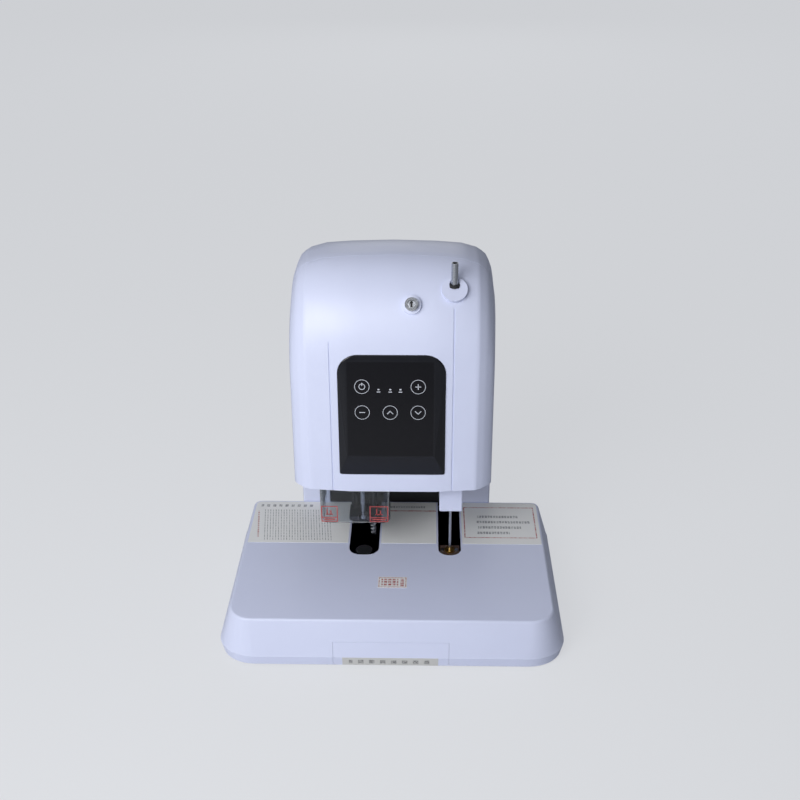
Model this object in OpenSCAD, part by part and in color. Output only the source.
// Desktop document riveting machine: a drill station and a hot riveting station under one head.
// Frame: +Z up, the operator stands at -Y, origin under the middle of the outline on the desk.

/* [Base and table] */
// Width of the table top
table_w = 340; // [320:1:360]
// Depth of the table top, front edge to back edge
table_d = 222; // [215:1:235]
// Height of the table top above the desk
table_h = 56; // [54:0.5:62]
// How far the base flares out at the front, below the table edge
flare = 10; // [6:1:14]
// How far the base walls flare out at the two sides
side_flare = 14; // [10:1:16]
// Plan radius of the table's front corners
table_r = 24; // [16:1:30]
// Plan radius of the table's back corners
back_r = 6; // [3:1:10]
// Wall thickness of the moulded shells
wall = 3; // [2:0.25:4]
// Height of the rubber feet
foot_h = 4; // [3:0.5:6]
// Diameter of the rubber feet
foot_d = 22; // [16:1:28]
// Width of the scrap drawer front
drawer_w = 121; // [100:1:140]
// Top edge of the scrap drawer front above the desk
drawer_top = 31; // [27:0.5:33]
// Length of the scrap drawer box
drawer_l = 92; // [70:1:96]

/* [Column and head] */
// Width of the column behind the table
column_w = 225; // [216:1:240]
// Depth of the column behind the table
column_d = 80; // [76:1:90]
// Overall height of the machine
total_h = 397; // [392:1:410]
// Height of the head's lower edge above the table
throat_h = 101; // [98:1:106]
// How far the head reaches in front of the table's back edge
head_reach = 134; // [128:1:140]
// Height above the desk where the front face starts to curve back
curve_z = 300; // [292:1:306]
// Lean of the front face from upright
face_lean = 3.6; // [2:0.1:5]
// Distance from the front edge of the head back to the seam between the covers
seam_back = 72; // [66:1:78]
// Radius of the head's rear top edge
rear_r = 120; // [100:1:125]
// Half width of the flat middle of the head's front
front_half = 45; // [40:1:50]
// Half width of the head's front face at its side edges
face_half = 88; // [86:0.5:92]

/* [Control panel] */
// Width of the raised console
console_w = 110; // [100:1:114]
// Height of the raised console along the face
console_h = 135; // [125:1:138]
// Gap from the head's lower edge up to the console
console_gap = 21; // [18:1:26]
// Radius of the console's top corners
console_r = 21; // [15:1:26]
// Width of the touch glass
glass_w = 88; // [80:1:92]
// Height of the touch glass along its slope
glass_h = 100; // [92:1:102]
// How far the console stands proud of the face at its lower edge
console_rise = 17; // [12:1:20]

/* [Stations] */
// X of the drill station
drill_x = -34; // [-36:0.5:-32]
// X of the rivet station
rivet_x = 63; // [61:0.5:63.5]
// Distance from the table's front edge back to both station axes
station_y = 126; // [122:1:130]
// Width of the drill notch in the table
drill_notch_w = 33.8; // [32:0.2:36]
// Width of the rivet notch in the table
rivet_notch_w = 25.7; // [25:0.1:28]
// Distance from a station axis forward to the notch's front end
notch_front = 12; // [11:0.5:14]
// Outside diameter of the hollow drill bit
bit_d = 5; // [4.5:0.5:6]
// Rest height of the drill tip above the table
tip_gap = 42; // [41:0.5:44]
// Rest height of the rivet block above the table
block_gap = 62; // [61:0.5:64]
// Width of the rivet block
block_w = 25; // [23:0.5:26]
// Depth of the rivet block
block_d = 32; // [28:1:34]
// Diameter of the centring needle
needle_d = 2.7; // [2:0.1:3.2]
// Height of the centring needle above the table
needle_up = 57; // [50:0.5:58]
// Bore for the plastic rivet tube
rivet_bore = 5.8; // [5.4:0.1:6]

/* [Drive] */
// Diameter of the drill unit's guide rods
drill_rod_d = 10; // [8:1:10]
// Diameter of the rivet unit's guide rods
rivet_rod_d = 8; // [6:1:8]
// Diameter of the lift screws
screw_d = 9; // [8:0.5:10]
// Diameter of the spindle pulley
pulley_d = 28; // [24:1:30]
// Diameter of the motor pulley
motor_pulley_d = 20; // [18:1:22]
// Thickness of the side frame plates
frame_t = 4; // [3:0.5:5]
// Thickness of the head plates
plate_t = 6; // [5:0.5:6]

/* [Hidden] */
$fn = 48;
eps = 0.01;
clear = 0.3;
slip = 0.05;
snug = 0.02;
arc_n = 8;

// Overall places
total_d = table_d + flare + column_d;
y_front = -total_d / 2 + flare;
y_back = y_front + table_d;
y_rear = total_d / 2;
y_axis = y_front + station_y;
y_face = y_back - head_reach;
y_seam = y_face + seam_back;
head_z = table_h + throat_h;
lean_run = (curve_z - head_z) * tan(face_lean);
crown_drop = 5;
bow = 4;
side_back = 66;
side_drop = 20;
face_top_y = y_face + lean_run;
curve_run = seam_back + 1;

// Inner frame
plate_top = foot_h + 2;
frame_x = 86;
arm_z = 40;
arm_front = y_axis - 40;
head_plate_z = head_z + 11;
head_plate_top = head_plate_z + plate_t;
top_plate_z = total_h - 53;
top_plate_top = top_plate_z + plate_t;
beam_z = 14;
beam_top = beam_z + 6;
liner_t = 2;
liner_y = y_back + 6;
liner_z = head_z + 3;
recess_half = 80;

// Drill unit
tip_z = table_h + tip_gap;
collet_z = tip_z + 48;
collet_d = 20;
nose_d = 12;
spindle_d = 16;
drill_block_z = head_plate_top + 54;
drill_block_top = drill_block_z + 54;
drill_rod_dx = 26;
drill_rod_y = y_axis + 36;
drill_screw_y = y_axis + 50;
drill_motor_y = y_axis + 84;
drill_motor_d = 36;
pulley_z = drill_block_top + 4;
pulley_h = 12;
post_dx = 9.6;
post_dy = 12.8;
post_d = 7.6;
foot_plate_z = tip_z + 2;
foot_plate_t = 5;
collar_z = tip_z + 42;
collar_t = 3;
pad_d = 19;
pad_top = table_h - 2;
pad_h = 8;

bearing_d = 20;
shaft_d = 10;
drill_bush_d = 19;
rivet_bush_d = 13;
nut_d = 14;

// Rivet unit
block_z = table_h + block_gap;
block_h = 58;
feed_bay = 67;
rivet_block_top = top_plate_z - feed_bay;
rivet_block_z = rivet_block_top - 40;
rivet_rod_dx = 15.5;
rivet_rod_y = y_axis + 32;
rivet_screw_y = y_axis + 48;
guide_d = 8;
die_d = 11;
holder_top = table_h - 2;
roller_d = 18;
feed_drop = 42;
feed_tube_end = 5;
guide_gap = 34;
roller_z = top_plate_z - 19;
roller_dx = roller_d / 2 + 2.5;
feed_tube_d = 7;

// Lift motors
lift_motor_d = 34;
lift_motor_h = 32;

// Surface of the head's top at a distance y, measured in the middle
function face_z(y) = curve_z + (total_h - curve_z)
    * sqrt(1 - pow((face_top_y + curve_run - y) / curve_run, 2));
function face_tilt(y) = atan2((face_z(y) - curve_z) / pow(total_h - curve_z, 2),
    (face_top_y + curve_run - y) / pow(curve_run, 2));

// Key lock
lock_x = 20.3;
lock_y = y_face + 25;
lock_z = face_z(lock_y);
lock_tilt = face_tilt(lock_y);
lock_d = 13.7;

// Arc points, and the outline of a rectangle with two corner radii
function arc(cx, cy, r, a0, a1, n = arc_n) =
    [for (i = [0:n]) let (a = a0 + (a1 - a0) * i / n) [cx + r * cos(a), cy + r * sin(a)]];
function rounded(x0, x1, y0, y1, rf, rb) = concat(
    arc(x0 + rf, y0 + rf, rf, 180, 270), arc(x1 - rf, y0 + rf, rf, 270, 360),
    arc(x1 - rb, y1 - rb, rb, 0, 90), arc(x0 + rb, y1 - rb, rb, 90, 180));
function notch_outline(xc, hw, yf, yb, rf, rb) = concat(
    [[xc - hw - rb, yb + 8]], arc(xc - hw - rb, yb - rb, rb, 90, 0),
    arc(xc - hw + rf, yf + rf, rf, 180, 270), arc(xc + hw - rf, yf + rf, rf, 270, 360),
    arc(xc + hw + rb, yb - rb, rb, 180, 90), [[xc + hw + rb, yb + 8]]);

// Side profile of the head: leaning front, curved top, round rear edge
function head_profile(yf, top, yr, rr, zb, in) = let (
    ym = yf + lean_run, cy = ym + curve_run, b = top - curve_z) concat(
    [[yf + in, zb]],
    [for (i = [0:12]) let (a = 90 * i / 12)
        [cy - (curve_run - in) * cos(a), curve_z + (b - in) * sin(a)]],
    [for (i = [0:10]) let (a = 90 - 90 * i / 10)
        [yr - rr + (rr - in) * cos(a), top - rr + (rr - in) * sin(a)]],
    [[yr - in, zb]]);

module block(x0, x1, y0, y1, z0, z1) {
    translate([x0, y0, z0]) cube([x1 - x0, y1 - y0, z1 - z0]);
}
module rod(x, y, z0, z1, d) {
    translate([x, y, z0]) cylinder(h = z1 - z0, d = d);
}
module tube(x, y, z0, z1, od, id) {
    difference() {
        rod(x, y, z0, z1, od);
        rod(x, y, z0 - 1, z1 + 1, id);
    }
}
module slab(outline, z0, z1) {
    translate([0, 0, z0]) linear_extrude(z1 - z0) polygon(outline);
}
module profile_slab(outline, half) {
    rotate([90, 0, 90]) translate([0, 0, -half]) linear_extrude(2 * half) polygon(outline);
}
module on_face() {
    translate([0, y_face, head_z]) rotate([-face_lean, 0, 0]) children();
}
module on_lock() {
    translate([lock_x, lock_y, lock_z]) rotate([90 - lock_tilt, 0, 0]) children();
}

// Spring: one tube swept along a helix, with straight ends square to their seats
function spring_path(r, wire, turns, z0, z1) = let (n = turns * 8, rise = z1 - z0 - 2 * wire) concat(
    [[0, z0, 0], [0, z0 + wire, 45]],
    [for (i = [1:n - 1]) [360 * i / 8, z0 + wire + rise * i / n, 90]],
    [[360 * turns, z1 - wire, 45], [360 * turns, z1, 0]]);
function path_point(p, r) = [r * cos(p[0]), r * sin(p[0]), p[1]];
function ring(p, r, wire, sides) = [for (k = [0:sides - 1]) let (a = 360 * k / sides, q = wire / 2 * sin(a))
    [(r + wire / 2 * cos(a)) * cos(p[0]) - q * cos(p[2]) * sin(p[0]),
     (r + wire / 2 * cos(a)) * sin(p[0]) + q * cos(p[2]) * cos(p[0]), p[1] - q * sin(p[2])]];
function least_gap(path, r, wire) = min([for (i = [0:len(path) - 9]) for (j = [i + 7:len(path) - 1])
    norm(path_point(path[i], r) - path_point(path[j], r)) - wire]);
module spring(name, r, wire, turns, z0, z1) {
    path = spring_path(r, wire, turns, z0, z1);
    sides = 6;
    n = len(path);
    echo(str(name, " least gap ", least_gap(path, r, wire)));
    polyhedron(
        points = [for (p = path) each ring(p, r, wire, sides)],
        faces = concat(
            [[for (k = [0:sides - 1]) k]],
            [[for (k = [0:sides - 1]) n * sides - 1 - k]],
            [for (i = [0:n - 2]) for (k = [0:sides - 1]) let (m = (k + 1) % sides)
                each [[i * sides + k, (i + 1) * sides + k, (i + 1) * sides + m],
                    [i * sides + k, (i + 1) * sides + m, i * sides + m]]]));
}

// Base: solid of the outer form, shrunk by in
module base_slice(grow, z0, z1, in) {
    g = grow - in;
    gx = grow * side_flare / flare - in;
    slab(rounded(-table_w / 2 - gx, table_w / 2 + gx, y_front - g, y_back - in,
        max(table_r + g, 1), max(back_r - in, 1)), z0, z1);
}
module base_solid(in) {
    skirt = 8;
    edge = 2;
    hull() {
        base_slice(flare, foot_h - (in > 0 ? 1 : 0), foot_h + skirt, in);
        base_slice(flare - 1, foot_h + skirt, foot_h + skirt + 1, in);
        base_slice(1, table_h - edge - 1 - in, table_h - edge - in, in);
        base_slice(-edge / 2, table_h - eps - in, table_h - in, in);
    }
}
module notches(grow, z0, z1) {
    slab(notch_outline(drill_x, drill_notch_w / 2 + grow, y_axis - notch_front - grow, y_back,
        13, 5), z0, z1);
    slab(notch_outline(rivet_x, rivet_notch_w / 2 + grow, y_axis - notch_front - grow, y_back,
        rivet_notch_w / 2 - 1, 5), z0, z1);
}
module drawer_mouth(gap) {
    block(-drawer_w / 2 - gap, drawer_w / 2 + gap, y_front - flare - 5, y_front + wall + 4,
        foot_h - 1, drawer_top + gap);
}
module base_shell() color("gainsboro") difference() {
    union() {
        difference() {
            base_solid(0);
            base_solid(wall);
        }
        difference() {
            notches(wall - 0.5, table_h - 22, table_h - 1);
            block(-table_w, table_w, y_back - 3, y_rear, 0, table_h);
        }
    }
    notches(0, table_h - 30, table_h + 1);
    drawer_mouth(clear);
    block(-frame_x - 9, frame_x + 9, y_back - wall - 1, y_back + 10, 0, table_h - wall);
}
module base_plate() color("silver") difference() {
    union() {
        slab(rounded(-plate_half, plate_half, y_front - flare + wall + clear, y_back - wall - 1,
            table_r + flare - wall, 4), foot_h, plate_top);
        block(-frame_x - 8, frame_x + 8, y_back - wall - 2, y_rear - 8, foot_h, plate_top);
        column_slice(wall + clear, foot_h, plate_top);
    }
    for (p = foot_places) rod(p[0], p[1], 0, 20, 5 + snug);
}
plate_half = table_w / 2 + flare - wall - clear;
foot_places = [[-table_w / 2 + 20, y_front + 33], [table_w / 2 - 20, y_front + 33],
    [-frame_x + 6, y_rear - 30], [frame_x - 6, y_rear - 30]];
module rubber_feet() color("dimgray") for (p = foot_places) {
    rod(p[0], p[1], 0, foot_h, foot_d);
    rod(p[0], p[1], foot_h - eps, plate_top + 1, 5);
}
film_t = 0.3;
module table_films() color("oldlace") {
    y0 = y_front + 136;
    y1 = y_back - 1.5;
    x1 = table_w / 2 - 2;
    dx = drill_notch_w / 2 + 2;
    rx = rivet_notch_w / 2 + 2;
    intersection() {
        slab(rounded(-x1, x1, y_front, y1, table_r, back_r), table_h, table_h + film_t);
        union() {
            block(-x1, drill_x - dx, y0, y1, table_h, table_h + film_t);
            block(drill_x + dx, rivet_x - rx, y0, y1, table_h, table_h + film_t);
            block(rivet_x + rx, x1, y0, y1, table_h, table_h + film_t);
            block(-15.7, 15.7, y_front + 54, y_front + 73, table_h, table_h + film_t);
        }
    }
}
tray_t = 2;
module drawer() color("gainsboro") {
    tray_back = y_front - flare + wall + drawer_l;
    tray_half = drawer_w / 2 - tray_t;
    intersection() {
        difference() {
            base_solid(0);
            base_solid(wall);
        }
        drawer_mouth(0);
    }
    difference() {
        intersection() {
            block(-tray_half, tray_half, y_front - flare, tray_back, plate_top + clear, drawer_top - tray_t);
            base_solid(wall - 1);
        }
        block(-tray_half + tray_t, tray_half - tray_t, y_front - 1, tray_back - tray_t,
            plate_top + clear + tray_t, drawer_top);
    }
}

// Tower: head over the throat, column behind the table
module head_solid(in, zb) {
    hull() {
        profile_slab(head_profile(y_face, total_h, y_rear, rear_r, zb, in), front_half);
        profile_slab(head_profile(y_face + bow, total_h - crown_drop, y_rear, rear_r, zb, in),
            face_half - in / 2);
        profile_slab(head_profile(y_face + side_back, total_h - side_drop, y_rear, rear_r - 20, zb, in),
            column_w / 2 - in);
    }
}
column_r = 25;
module column_slice(in, z0, z1) {
    slab(rounded(-column_w / 2 + in, column_w / 2 - in, y_back + 0.5 + in, y_rear - in, 3,
        column_r - in), z0, z1);
}
module tower_shell() {
    difference() {
        union() {
            head_solid(0, head_z);
            column_slice(0, foot_h, head_z + 20);
        }
        head_solid(wall, head_z - eps);
        column_slice(wall, foot_h - 1, head_z + 40);
    }
}
seam_gap = 0.4;
inlet_x = -28;
inlet_z = 76;
inlet_w = 52;
inlet_h = 32;
module rear_cover() color("gainsboro") difference() {
    tower_shell();
    block(-200, 200, -300, y_seam + seam_gap / 2, 0, 500);
    block(-recess_half, recess_half, y_back - 1, y_back + 8, 0, head_z);
    block(-frame_x - 9, frame_x + 9, y_back - 1, y_back + 8, 0, table_h - wall);
    block(inlet_x - inlet_w / 2, inlet_x + inlet_w / 2, y_rear - 10, y_rear + 1,
        inlet_z - inlet_h / 2, inlet_z + inlet_h / 2);
    for (i = [0:7]) block(-60, 60, y_rear - 10, y_rear + 1, 190 + 9 * i, 193.5 + 9 * i);
    for (s = [-1, 1], z = screw_zs) translate([s * (column_w / 2 - 10), screw_y, z])
        rotate([0, s * 90, 0]) cylinder(h = 20, d = 4.4);
}
screw_zs = [30, 140];
screw_y = y_rear - 36;
module front_cover() color("gainsboro") difference() {
    union() {
        difference() {
            tower_shell();
            block(-200, 200, y_seam - seam_gap / 2, 400, 0, 500);
        }
        difference() {
            union() {
                on_lock() translate([0, 0, -6]) cylinder(h = 9, d = 19);
                translate([rivet_x, y_axis, face_z(y_axis) - 7]) rotate([90 - face_tilt(y_axis), 0, 0])
                    translate([0, 0, -5]) cylinder(h = 10, d = 26);
            }
            head_solid(wall, head_z - eps);
        }
    }
    on_face() console_blank(clear, -20, 30);
    on_lock() translate([0, 0, -20]) cylinder(h = 40, d = lock_d - 1.5 + slip);
    rod(rivet_x, y_axis, curve_z, total_h + 20, feed_tube_d + 2 * slip);
    rod(rivet_x, y_axis, grommet_z - grommet_h / 2 - snug, total_h + 20, grommet_d + 2 * snug);
    for (s = [-1, 1]) on_face() block(s * rivet_x - 0.8, s * rivet_x + 0.8, -5, 1.2 + (rivet_x - front_half)
        / (face_half - front_half) * bow, -1, curve_z - head_z);
}

// Dark sheet that closes the underside of the head and the back of the throat
module throat_liner() color("#202226") difference() {
    union() {
        slab([[-front_half, y_face + 3.9], [front_half, y_face + 3.9], [82, y_face + 8],
            [column_w / 2 - 6, y_face + side_back + 6], [column_w / 2 - 6, y_back],
            [frame_x - 1, y_back], [frame_x - 1, liner_y + liner_t], [-frame_x + 1, liner_y + liner_t],
            [-frame_x + 1, y_back], [-column_w / 2 + 6, y_back],
            [-column_w / 2 + 6, y_face + side_back + 6], [-82, y_face + 8]], liner_z, liner_z + liner_t);
        block(-frame_x + 1, frame_x - 1, liner_y, liner_y + liner_t, plate_top + 1, liner_z + eps);
    }
    rod(drill_x, y_axis + 8, liner_z - 1, liner_z + 5, 44);
    block(rivet_x - block_w / 2 - 2, rivet_x + block_w / 2 + 2, y_axis - block_d / 2 - 2,
        y_axis + block_d / 2 + 2, liner_z - 1, liner_z + 5);
    rod(lamp_x, lamp_y, liner_z - 1, liner_z + 5, 6 + slip);
    for (p = guard_screws) rod(p[0], p[1], liner_z - 1, liner_z + 5, 3 + slip);
}
lamp_x = 25;
lamp_y = y_face + 16;
module work_lamp() color("#101114") {
    rod(lamp_x, lamp_y, liner_z - 4, liner_z, 13);
    rod(lamp_x, lamp_y, liner_z - eps, liner_z + 5, 6);
    difference() {
        translate([lamp_x, lamp_y, liner_z - 4]) sphere(d = 13);
        block(lamp_x - 10, lamp_x + 10, lamp_y - 10, lamp_y + 10, liner_z - 4, liner_z + 10);
    }
}

// Clear guard round the drill
guard_x0 = -79;
guard_x1 = -3;
guard_y0 = y_face + 7;
guard_y1 = y_axis + 30;
guard_z = table_h + 56;
guard_t = 2;
guard_screws = [[guard_x0 + 8, guard_y1 - 8], [guard_x1 - 8, guard_y1 - 8]];
module drill_guard() color([0.25, 0.27, 0.3, 0.45]) difference() {
    slab(rounded(guard_x0, guard_x1, guard_y0, guard_y1, 10, 1), guard_z, liner_z);
    slab(rounded(guard_x0 + guard_t, guard_x1 - guard_t, guard_y0 + guard_t, guard_y1 + 30, 8, 1),
        guard_z - 1, liner_z - 2.5);
    slab(rounded(guard_x0 + 14, guard_x1 - 14, guard_y0 + 8, guard_y1 + 30, 8, 1),
        guard_z - 1, liner_z + 1);
    for (p = guard_screws) rod(p[0], p[1], guard_z, liner_z + 1, 3 + slip);
}

// Console with the touch glass
function console_outline(g) = let (w = console_w / 2 + g, z0 = console_gap - g,
    z1 = console_gap + console_h + g, r = console_r + g) concat(
    [[-w, z0 + 2], [-w + 2, z0], [w - 2, z0], [w, z0 + 2]],
    arc(w - r, z1 - r, r, 0, 90), arc(-w + r, z1 - r, r, 90, 180));
module console_blank(g, y0, y1) {
    rotate([90, 0, 0]) translate([0, 0, -y1]) linear_extrude(y1 - y0) polygon(console_outline(g));
}
glass_top = console_gap + console_h - 8;
glass_low = console_gap + 17;
console_lip = 3.5;
glass_tilt = atan2(console_rise - console_lip, glass_top - glass_low);
module on_glass() {
    on_face() translate([0, -console_rise, glass_low]) rotate([-glass_tilt, 0, 0]) children();
}
glass_span = (glass_top - glass_low) / cos(glass_tilt);
module panel_console() color("#0c0d10") difference() {
    on_face() union() {
        console_blank(0, -1, 6);
        hull() {
            console_blank(0, -1, 0);
            profile_slab([[-console_lip, glass_top], [-console_rise, glass_low],
                [-console_rise + 1, glass_low], [-0.5, glass_top]], glass_w / 2 + 1.5);
        }
    }
    on_face() block(-console_w / 2 + 8, console_w / 2 - 8, 0.5, 20, console_gap + 8,
        console_gap + console_h - console_r);
}
glass_t = 1.2;
module panel_glass() color("#15161a") on_glass() block(-glass_w / 2, glass_w / 2, -glass_t - snug, -snug,
    (glass_span - glass_h) / 2, (glass_span + glass_h) / 2);

// Frame
frame_front = y_axis - 11;
module side_frames() color("slategray") for (s = [-1, 1])
    translate([s > 0 ? frame_x : -frame_x - frame_t, 0, 0]) difference() {
        rotate([90, 0, 90]) linear_extrude(frame_t) polygon([[arm_front, plate_top], [y_rear - 6, plate_top],
            [y_rear - 6, curve_z - 14], [y_rear - 44, top_plate_top - 6], [y_rear - 60, top_plate_top + 2],
            [y_axis + 26, top_plate_top + 2], [frame_front, curve_z + 12], [frame_front, head_plate_z],
            [y_back + 12, head_plate_z], [y_back + 12, arm_z], [arm_front, arm_z]]);
        for (z = screw_zs) translate([-1, screw_y, z]) rotate([0, 90, 0])
            cylinder(h = frame_t + 2, d = 3.6);
        translate([-1, y_axis + 60, head_plate_top + 90]) rotate([0, 90, 0])
            cylinder(h = frame_t + 2, d = 70);
    }
module cover_screws() color("silver") for (s = [-1, 1], z = screw_zs) translate([s * frame_x, screw_y, z])
    rotate([0, s * 90, 0]) {
        cylinder(h = column_w / 2 - frame_x + 0.5, d = 3.6 - 2 * snug);
        translate([0, 0, column_w / 2 - frame_x + snug]) cylinder(h = 2, d1 = 8, d2 = 6);
    }
module head_plate() color("slategray") difference() {
    block(-frame_x + snug, frame_x - snug, y_axis - 24, y_back + 10, head_plate_z, head_plate_top);
    rod(drill_x, y_axis + 8, head_plate_z - 1, head_plate_top + 1, 42);
    block(rivet_x - block_w / 2 - 2, rivet_x + block_w / 2 + 2, y_axis - block_d / 2 - 2,
        y_axis + block_d / 2 + 2, head_plate_z - 1, head_plate_top + 1);
    guide_rod_places(drill_rod_d + 2 * snug, rivet_rod_d + 2 * snug, head_plate_z - 1, head_plate_top + 1);
    for (p = screw_places) rod(p[0], p[1], head_plate_z - 1, head_plate_top + 1, 6 + 2 * slip);
}
screw_places = [[drill_x, drill_screw_y], [rivet_x, rivet_screw_y]];
module guide_rod_places(d1, d2, z0, z1) {
    for (s = [-1, 1]) {
        rod(drill_x + s * drill_rod_dx, drill_rod_y, z0, z1, d1);
        rod(rivet_x + s * rivet_rod_dx, rivet_rod_y, z0, z1, d2);
    }
}
module top_plate() color("slategray") difference() {
    block(-frame_x + snug, frame_x - snug, y_axis + 22, y_back + 24, top_plate_z, top_plate_top);
    guide_rod_places(drill_rod_d + 2 * snug, rivet_rod_d + 2 * snug, top_plate_z - 1, top_plate_top + 1);
    for (p = screw_places) rod(p[0], p[1], top_plate_z - 1, top_plate_top + 1, screw_d + 2 * clear);
}
module guide_rods() color("silver") guide_rod_places(drill_rod_d, rivet_rod_d, head_plate_z, top_plate_top);
module die_beam() color("slategray") difference() {
    block(-frame_x + snug, frame_x - snug, y_axis - 25, y_axis + 50, beam_z, beam_top);
    rod(probe_x, probe_y, beam_z - 1, beam_top + 1, probe_d + 2 * slip);
}
module main_board() color("seagreen") {
    by = y_back + 30;
    block(-78, 78, by, by + 1.6, head_plate_z - 50, head_plate_top + 80);
    for (x = [-60, -20, 30]) block(x, x + 26, by - 6, by - snug, head_plate_z - 40, head_plate_z - 22);
    for (i = [0:4]) rod_y(-64 + 14 * i, by - 14, by - snug, head_plate_top + 60, 11);
    block(30, 70, by - 12, by - snug, head_plate_top + 20, head_plate_top + 50);
}
module rod_y(x, y0, y1, z, d) {
    translate([x, y0, z]) rotate([-90, 0, 0]) cylinder(h = y1 - y0, d = d);
}
module power_supply() color("silver") difference() {
    block(-62, 62, y_rear - 56, y_rear - 10, plate_top + snug, plate_top + 44);
    for (i = [0:9])
        block(-50 + 10 * i, -46 + 10 * i, y_rear - 50, y_rear - 16, plate_top + 42, plate_top + 50);
}
module inlet_module() color("#17181b") difference() {
    union() {
        block(inlet_x - inlet_w / 2 + clear, inlet_x + inlet_w / 2 - clear, y_rear - wall, y_rear,
            inlet_z - inlet_h / 2 + clear, inlet_z + inlet_h / 2 - clear);
        block(inlet_x - inlet_w / 2 + 3, inlet_x + inlet_w / 2 - 3, y_rear - 26, y_rear - wall + eps,
            inlet_z - inlet_h / 2 + 3, inlet_z + inlet_h / 2 - 3);
    }
    difference() {
        block(inlet_x - 22, inlet_x + 2, y_rear - 16, y_rear + 1, inlet_z - 9, inlet_z + 9);
        for (dx = [-7, 0, 7])
            rod_y(inlet_x - 10 + dx, y_rear - 17, y_rear - 3, inlet_z - (dx == 0 ? -4 : 2), 2.4);
    }
    block(rocker_x - rocker_w / 2 - clear, rocker_x + rocker_w / 2 + clear, y_rear - 12, y_rear + 1,
        inlet_z - rocker_h / 2 - 1, inlet_z + rocker_h / 2 + 1);
    rocker_pivot(clear + pivot_reach + 0.2, pivot_d + 2 * slip);
}
pivot_d = 3;
pivot_reach = 1.2;
module rocker_pivot(reach, d) {
    translate([rocker_x - rocker_w / 2 - reach, y_rear - 6, inlet_z]) rotate([0, 90, 0])
        cylinder(h = rocker_w + 2 * reach, d = d);
}
rocker_x = inlet_x + 14;
rocker_w = 12;
rocker_h = 20;
module power_rocker() color("#26272b") {
    translate([rocker_x, y_rear - 6, inlet_z])
        profile_slab([[-1, -9.4], [3.6, -9.4], [4.2, 0], [5.8, 9.2], [-1, 9.4]], rocker_w / 2 - clear);
    rocker_pivot(pivot_reach, pivot_d);
}
module lift_motors() color("dimgray") for (p = screw_places) difference() {
    union() {
        rod(p[0], p[1], top_plate_top + snug, top_plate_top + lift_motor_h, lift_motor_d);
    }
    rod(p[0], p[1], top_plate_top - 1, top_plate_top + 8, screw_d + 2 * clear);
}

// Lower tooling under the table
module pad_seat() color("slategray") difference() {
    rod(drill_x, y_axis, beam_top + snug, pad_top - 2, pad_d + 2.4);
    rod(drill_x, y_axis, pad_top - pad_h, pad_top, pad_d + 2 * clear);
}
module drill_pad() color("#1a1c1e") rod(drill_x, y_axis, pad_top - pad_h + slip, pad_top, pad_d);
module lower_heater() color("#3a3330") difference() {
    slab(rounded(rivet_x - 11, rivet_x + 11, y_axis - 8, y_axis + 10, 7, 1), beam_top + snug, holder_top);
    rod(rivet_x, y_axis, holder_top - 14, holder_top + 1, die_d + 2 * snug);
    for (s = [-1, 1]) rod(rivet_x + s * 8, y_axis, holder_top - 8, holder_top + 1, 2.5 + 2 * snug);
}
module lower_die() color("goldenrod") difference() {
    rod(rivet_x, y_axis, holder_top - 14, table_h, die_d);
    rod(rivet_x, y_axis, holder_top - 10, table_h + 1, needle_d + 2 * snug);
}
module die_screws() color("silver") for (s = [-1, 1]) {
    rod(rivet_x + s * 8, y_axis, holder_top - 8, holder_top + eps, 2.5);
    translate([rivet_x + s * 8, y_axis, holder_top + snug]) difference() {
        cylinder(h = 1.6, d = 4.2);
        translate([-3, -0.4, 0.8]) cube([6, 0.8, 2]);
    }
}
module needle() color("silver") union() {
    rod(rivet_x, y_axis, holder_top - 10, table_h + needle_up - 3, needle_d);
    translate([rivet_x, y_axis, table_h + needle_up - 3]) cylinder(h = 3, d1 = needle_d, d2 = 0.8);
}

// Stack probe beside the drill pad
probe_x = drill_x + 9;
probe_y = y_axis + 34;
probe_d = 3;
probe_up = table_h + 12;
spring_wire = 1;
module probe_plunger() color("silver") {
    rod(probe_x, probe_y, beam_z - 0.5, probe_up, probe_d);
    rod(probe_x, probe_y, probe_up - eps, probe_up + 3, 8);
}
module probe_spring() color("gainsboro") translate([probe_x, probe_y, 0])
    spring("probe_spring", 2.9, spring_wire, 10, beam_top + snug, probe_up - snug);

// Drill unit
module drill_carriage() color("lightslategray") difference() {
    union() {
        block(drill_x - 38, drill_x + 38, y_axis - 18, y_axis + 64, drill_block_z, drill_block_top);
        block(drill_x - 21, drill_x + 21, y_axis + 64 - eps, drill_motor_y + 20, drill_block_top - 6,
            drill_block_top);
    }
    for (s = [-1, 1]) {
        block(drill_x + s * 28.5 - 10, drill_x + s * 28.5 + 10, y_axis - 19, y_axis + 20, drill_block_z - 1,
            drill_block_top + 1);
        rod(drill_x + s * drill_rod_dx, drill_rod_y, drill_block_z - 1, drill_block_top + 1,
            drill_bush_d + 2 * snug);
        rod(drill_x + s * post_dx, y_axis + post_dy, drill_block_z - 1, drill_block_top + 1,
            post_d + 2 * slip);
    }
    rod(drill_x, y_axis, drill_block_z - 1, drill_block_top + 1, bearing_d + 2 * snug);
    rod(drill_x, drill_screw_y, drill_block_z - 1, drill_block_top + 1, nut_d + 2 * snug);
    rod(drill_x, drill_motor_y, drill_block_top - 10, drill_block_top + 1, 14);
}
module drill_bushes() color("silver") for (s = [-1, 1])
    tube(drill_x + s * drill_rod_dx, drill_rod_y, drill_block_z + 2, drill_block_top - 2, drill_bush_d,
        drill_rod_d + 2 * slip);
module drill_nut() color("goldenrod") difference() {
    union() {
        rod(drill_x, drill_screw_y, drill_block_z - 5, drill_block_z - snug, nut_d + 8);
        rod(drill_x, drill_screw_y, drill_block_z - 5, drill_block_z + 34, nut_d);
    }
    rod(drill_x, drill_screw_y, drill_block_z - 6, drill_block_z + 35, screw_d + 2 * slip);
}
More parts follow.
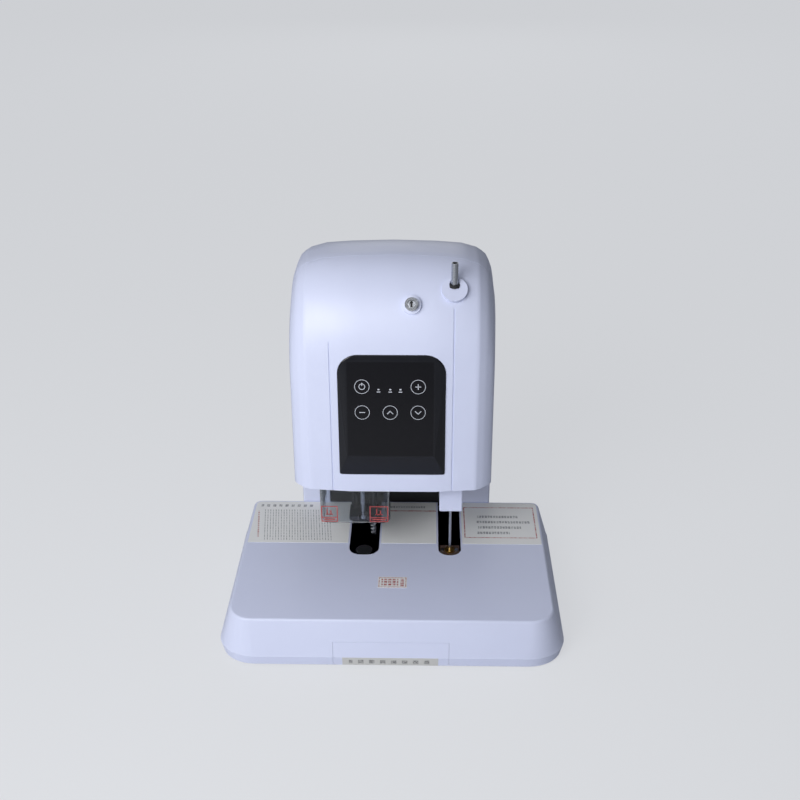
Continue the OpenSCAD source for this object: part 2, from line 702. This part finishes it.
module spindle_bearings() color("silver") for (z = [drill_block_z, drill_block_top - 8])
    tube(drill_x, y_axis, z, z + 8, bearing_d, shaft_d + 2 * snug);
module drill_motor() color("dimgray") difference() {
    union() {
        rod(drill_x, drill_motor_y, drill_block_z - 3, drill_block_top - 6 - snug, drill_motor_d);
        rod(drill_x, drill_motor_y, drill_block_top - 8, drill_block_top - 3, 13.5);
    }
    rod(drill_x, drill_motor_y, drill_block_top - 20, drill_block_top + 1, 5 + 2 * slip);
}
module spindle() color("silver") difference() {
    union() {
        rod(drill_x, y_axis, collet_z + 8, collet_z + 24, nose_d);
        rod(drill_x, y_axis, collet_z + 22, drill_block_z - clear, spindle_d);
        rod(drill_x, y_axis, drill_block_z - 1, pulley_z + pulley_h + 4, shaft_d);
        rod(drill_x, y_axis, pulley_z, pulley_z + pulley_h, pulley_d);
        for (z = [pulley_z - 1.5, pulley_z + pulley_h])
            rod(drill_x, y_axis, z, z + 1.5, pulley_d + 4);
    }
    rod(drill_x, y_axis, collet_z, collet_z + 32, bit_d + 2 * snug);
    rod(drill_x, y_axis, collet_z, pulley_z + 30, bit_d - 1);
}
module collet() color("silver") difference() {
    union() {
        translate([drill_x, y_axis, collet_z]) cylinder(h = 6, d1 = nose_d, d2 = collet_d);
        rod(drill_x, y_axis, collet_z + 6, collet_z + 21, collet_d);
    }
    rod(drill_x, y_axis, collet_z - 1, collet_z + 9, bit_d + 2 * snug);
    rod(drill_x, y_axis, collet_z + 8 - snug, collet_z + 22, nose_d + 2 * snug);
}
module drill_bit() color("silver") difference() {
    rod(drill_x, y_axis, tip_z, collet_z + 31, bit_d);
    rod(drill_x, y_axis, tip_z - 1, collet_z + 32, bit_d - 1.4);
    translate([drill_x, y_axis, tip_z - eps]) cylinder(h = 1.2, d1 = bit_d - 0.3, d2 = bit_d - 1.5);
}
module motor_pulley() color("silver") {
    rod(drill_x, drill_motor_y, pulley_z, pulley_z + pulley_h, motor_pulley_d);
    rod(drill_x, drill_motor_y, drill_block_top - 18, pulley_z + eps, 5);
    for (z = [pulley_z - 1.5, pulley_z + pulley_h])
        rod(drill_x, drill_motor_y, z, z + 1.5, motor_pulley_d + 4);
}
belt_t = 1.6;
module belt_loop(grow, z0, z1) {
    hull() {
        rod(drill_x, y_axis, z0, z1, pulley_d + 2 * grow);
        rod(drill_x, drill_motor_y, z0, z1, motor_pulley_d + 2 * grow);
    }
}
module drive_belt() color("#1c1c1e") difference() {
    belt_loop(clear + belt_t, pulley_z + 1, pulley_z + pulley_h - 1);
    belt_loop(clear, pulley_z, pulley_z + pulley_h);
}
module press_foot() color("#1d1f22") difference() {
    union() {
        slab(rounded(drill_x - 15, drill_x + 15, y_axis - 8, y_axis + 18, 3, 3), foot_plate_z,
            foot_plate_z + foot_plate_t);
        for (s = [-1, 1]) {
            rod(drill_x + s * post_dx, y_axis + post_dy, foot_plate_z + 1, drill_block_z + 10, post_d);
            rod(drill_x + s * post_dx, y_axis + post_dy, collar_z - collar_t, collar_z, post_d + 4);
        }
    }
    rod(drill_x, y_axis, foot_plate_z - 1, foot_plate_z + foot_plate_t + 1, bit_d + 3);
    block(drill_x - bit_d / 2 - 1.5, drill_x + bit_d / 2 + 1.5, y_axis - 20, y_axis, foot_plate_z - 1,
        foot_plate_z + foot_plate_t + 1);
}
module press_springs() color("gainsboro") for (s = [-1, 1])
    translate([drill_x + s * post_dx, y_axis + post_dy, 0])
        spring("press_springs", post_d / 2 + 1.1, spring_wire, 11, collar_z + snug, drill_block_z - snug);
module lift_screw(x, y) {
    rod(x, y, head_plate_z, head_plate_top + 1, 6);
    rod(x, y, head_plate_top + clear, top_plate_top + 5, screw_d);
}
module drill_screw() color("silver") lift_screw(drill_x, drill_screw_y);
module rivet_screw() color("silver") lift_screw(rivet_x, rivet_screw_y);

// Rivet unit
module rivet_carriage() color("lightslategray") difference() {
    union() {
        block(rivet_x - 22, rivet_x + 22, y_axis - 16, y_axis + 60, rivet_block_z, rivet_block_top);
        rod(rivet_x, y_axis, block_z + block_h - 10 + snug, rivet_block_z + 1, 16);
    }
    rod(rivet_x, y_axis, block_z, rivet_block_top + 1, guide_d + 2 * snug);
    for (s = [-1, 1]) rod(rivet_x + s * rivet_rod_dx, rivet_rod_y, rivet_block_z - 1, rivet_block_top + 1,
        rivet_bush_d + 2 * snug);
    rod(rivet_x, rivet_screw_y, rivet_block_z - 1, rivet_block_top + 1, nut_d + 2 * snug);
}
module rivet_bushes() color("silver") for (s = [-1, 1])
    tube(rivet_x + s * rivet_rod_dx, rivet_rod_y, rivet_block_z + 2, rivet_block_top - 2, rivet_bush_d,
        rivet_rod_d + 2 * slip);
module rivet_nut() color("goldenrod") difference() {
    union() {
        rod(rivet_x, rivet_screw_y, rivet_block_top + snug, rivet_block_top + 5, nut_d + 8);
        rod(rivet_x, rivet_screw_y, rivet_block_z + 4, rivet_block_top + 5, nut_d);
    }
    rod(rivet_x, rivet_screw_y, rivet_block_z, rivet_block_top + 6, screw_d + 2 * slip);
}
module rivet_block() color("white") difference() {
    slab(rounded(rivet_x - block_w / 2, rivet_x + block_w / 2, y_axis - block_d / 2, y_axis + block_d / 2,
        1.5, 1.5), block_z, block_z + block_h);
    block(rivet_x - block_w / 2 + 2, rivet_x + block_w / 2 - 2, y_axis - block_d / 2 + 2,
        y_axis + block_d / 2 - 2, block_z + 2, block_z + block_h - 3);
    rod(rivet_x, y_axis, block_z - 1, block_z + 10, die_d + 2 * clear);
    rod(rivet_x, y_axis, block_z + block_h - 10, block_z + block_h + 1, 16 + 2 * slip);
}
module upper_heater() color("silver") difference() {
    block(rivet_x - 9, rivet_x + 9, y_axis - 12, y_axis + 12, block_z + 9, block_z + block_h - 10);
    rod(rivet_x, y_axis, block_z, block_z + block_h, guide_d + 2 * snug);
    for (s = [-1, 1]) rod_y(rivet_x + s * 6, y_axis - 13, y_axis + 13, block_z + 30, 1.8);
}
module upper_die() color("goldenrod")
    tube(rivet_x, y_axis, block_z - 1, block_z + 9 - snug, die_d, rivet_bore);
module guide_tube() color("silver")
    tube(rivet_x, y_axis, block_z + 9, top_plate_z - feed_tube_end - guide_gap, guide_d, rivet_bore);
module feed_tube() color("silver")
    tube(rivet_x, y_axis, top_plate_z - feed_tube_end, grommet_z + 24, feed_tube_d, rivet_bore);
grommet_z = face_z(y_axis) - 1;
grommet_h = 2.8;
grommet_d = 10.5;
module feed_grommet() color("#1a1b1d") tube(rivet_x, y_axis, grommet_z - grommet_h / 2,
    grommet_z + grommet_h / 2, grommet_d, feed_tube_d + 2 * snug);
module feed_bracket() color("slategray") difference() {
    union() {
        block(rivet_x - 23, rivet_x + 22.5, bracket_y, bracket_y + 3, top_plate_z - feed_drop,
            top_plate_z - snug);
        block(rivet_x - 23, rivet_x + 22.5, bracket_y, y_axis + 27, top_plate_z - 3, top_plate_z - snug);
    }
    for (s = [-1, 1]) rod_y(rivet_x + s * roller_dx, bracket_y - 1, bracket_y + 4, roller_z, 4 + 2 * slip);
}
bracket_y = y_axis + 6;
module roller(s) {
    difference() {
        rod_y(rivet_x + s * roller_dx, bracket_y - 11, bracket_y - 1, roller_z, roller_d);
        translate([rivet_x + s * roller_dx, bracket_y - 6, roller_z]) rotate([90, 0, 0])
            rotate_extrude() translate([roller_d / 2 + 1.4, 0]) circle(d = 5);
    }
    rod_y(rivet_x + s * roller_dx, bracket_y - 12, bracket_y + 7, roller_z, 4);
}
module feed_roller() color("#2a2b2e") roller(-1);
module idler_roller() color("silver") roller(1);
module feed_motor() color("dimgray") difference() {
    rod_y(rivet_x - roller_dx, bracket_y + 3 + snug, bracket_y + 18, roller_z, 16);
    rod_y(rivet_x - roller_dx, bracket_y, bracket_y + 8, roller_z, 4 + 2 * slip);
}

// Key lock of the head cover
barrel_d = 8;
module key_lock() color("silver") on_lock() {
    difference() {
        union() {
            translate([0, 0, 3 + snug]) cylinder(h = 4, d = lock_d);
            translate([0, 0, 7]) cylinder(h = 1, d1 = lock_d, d2 = lock_d - 2);
            translate([0, 0, -14]) cylinder(h = 18, d = lock_d - 1.5);
        }
        translate([0, 0, -15]) cylinder(h = 30, d = barrel_d + 2 * slip);
    }
    translate([0, 0, -12]) difference() {
        cylinder(h = 3, d = 19, $fn = 6);
        translate([0, 0, -1]) cylinder(h = 5, d = lock_d - 1.5 + 2 * snug);
    }
}
module key_barrel() color("silver") on_lock() difference() {
    union() {
        translate([0, 0, -16]) cylinder(h = 23.6, d = barrel_d);
        translate([-5, -5, -18]) cube([10, 26, 2 + eps]);
    }
    translate([-0.7, -2.6, 3]) cube([1.4, 5.2, 6]);
}

base_shell();
base_plate();
rubber_feet();
table_films();
drawer();
rear_cover();
front_cover();
throat_liner();
work_lamp();
drill_guard();
panel_console();
panel_glass();
side_frames();
cover_screws();
head_plate();
top_plate();
guide_rods();
die_beam();
main_board();
power_supply();
inlet_module();
power_rocker();
lift_motors();
pad_seat();
drill_pad();
lower_heater();
lower_die();
die_screws();
needle();
probe_plunger();
probe_spring();
drill_carriage();
drill_bushes();
drill_nut();
spindle_bearings();
drill_motor();
spindle();
collet();
drill_bit();
motor_pulley();
drive_belt();
press_foot();
press_springs();
drill_screw();
rivet_screw();
rivet_carriage();
rivet_bushes();
rivet_nut();
rivet_block();
upper_heater();
upper_die();
guide_tube();
feed_tube();
feed_grommet();
feed_bracket();
feed_roller();
idler_roller();
feed_motor();
key_lock();
key_barrel();
